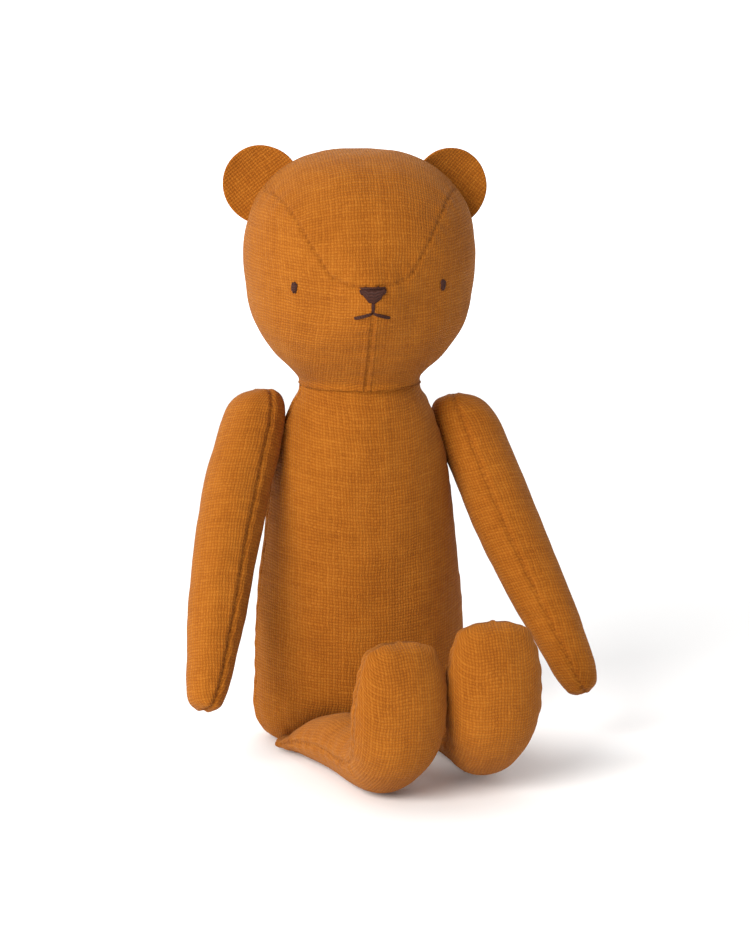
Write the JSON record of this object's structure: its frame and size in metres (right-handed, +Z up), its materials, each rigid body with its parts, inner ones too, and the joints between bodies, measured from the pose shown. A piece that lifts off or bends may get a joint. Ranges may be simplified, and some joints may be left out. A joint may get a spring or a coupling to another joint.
{
  "type": "jointed teddy bear",
  "caption": "Stuffed woven-linen teddy bear with a swivel neck, disc-jointed arms and legs that fold at the hips, sitting.",
  "frame": {"origin": "on the surface that the bear sits on, below the middle of its box", "axes": "+Z up along the body, -Y is the way the bear faces, -X is the bear's own right"},
  "size_m": [0.0998, 0.0955, 0.1428],
  "materials": {
    "linen": "plain-woven ochre linen",
    "filling": "loose white polyester fibre",
    "thread": "dark brown embroidery thread",
    "joint_plastic": "natural moulded nylon"
  },
  "bodies": {
    "torso": {"torso_cover": "linen", "torso_stuffing": "filling", "neck_washer": "joint_plastic", "neck_lock_washer": "joint_plastic", "right_shoulder_washer": "joint_plastic", "right_shoulder_lock_washer": "joint_plastic", "left_shoulder_washer": "joint_plastic", "left_shoulder_lock_washer": "joint_plastic"},
    "head": {"head_cover": "linen", "head_stuffing": "filling", "neck_disc": "joint_plastic", "right_ear_cover": "linen", "right_ear_padding": "filling", "left_ear_cover": "linen", "left_ear_padding": "filling", "right_eye": "thread", "left_eye": "thread", "nose": "thread", "chin_stitch": "thread", "right_mouth_stitch": "thread", "left_mouth_stitch": "thread"},
    "right_arm": {"right_arm_cover": "linen", "right_arm_stuffing": "filling", "right_shoulder_disc": "joint_plastic"},
    "left_arm": {"left_arm_cover": "linen", "left_arm_stuffing": "filling", "left_shoulder_disc": "joint_plastic"},
    "right_leg": {"right_leg_cover": "linen", "right_leg_stuffing": "filling"},
    "left_leg": {"left_leg_cover": "linen", "left_leg_stuffing": "filling"}
  },
  "joints": [
    {"name": "neck", "type": "hinge", "parent": "torso", "child": "head", "pos_m": [0, 0.0229, 0.086], "axis": [0, 0, 1], "range_deg": [-60, 60]},
    {"name": "right_shoulder", "type": "hinge", "parent": "torso", "child": "right_arm", "pos_m": [-0.01865, 0.0229, 0.0733], "axis": [-0.9478, 0, 0.319], "range_deg": [-70, 85]},
    {"name": "left_shoulder", "type": "hinge", "parent": "torso", "child": "left_arm", "pos_m": [0.01917, 0.0229, 0.0708], "axis": [-0.9511, 0, -0.309], "range_deg": [-70, 85]},
    {"name": "right_hip", "type": "hinge", "parent": "torso", "child": "right_leg", "pos_m": [-0.016, 0.0139, 0.0015], "axis": [0.9938, 0.1115, 0], "range_deg": [0, 90]},
    {"name": "left_hip", "type": "hinge", "parent": "torso", "child": "left_leg", "pos_m": [0.016, 0.0139, 0.0015], "axis": [0.9994, -0.0349, 0], "range_deg": [0, 90]}
  ]
}
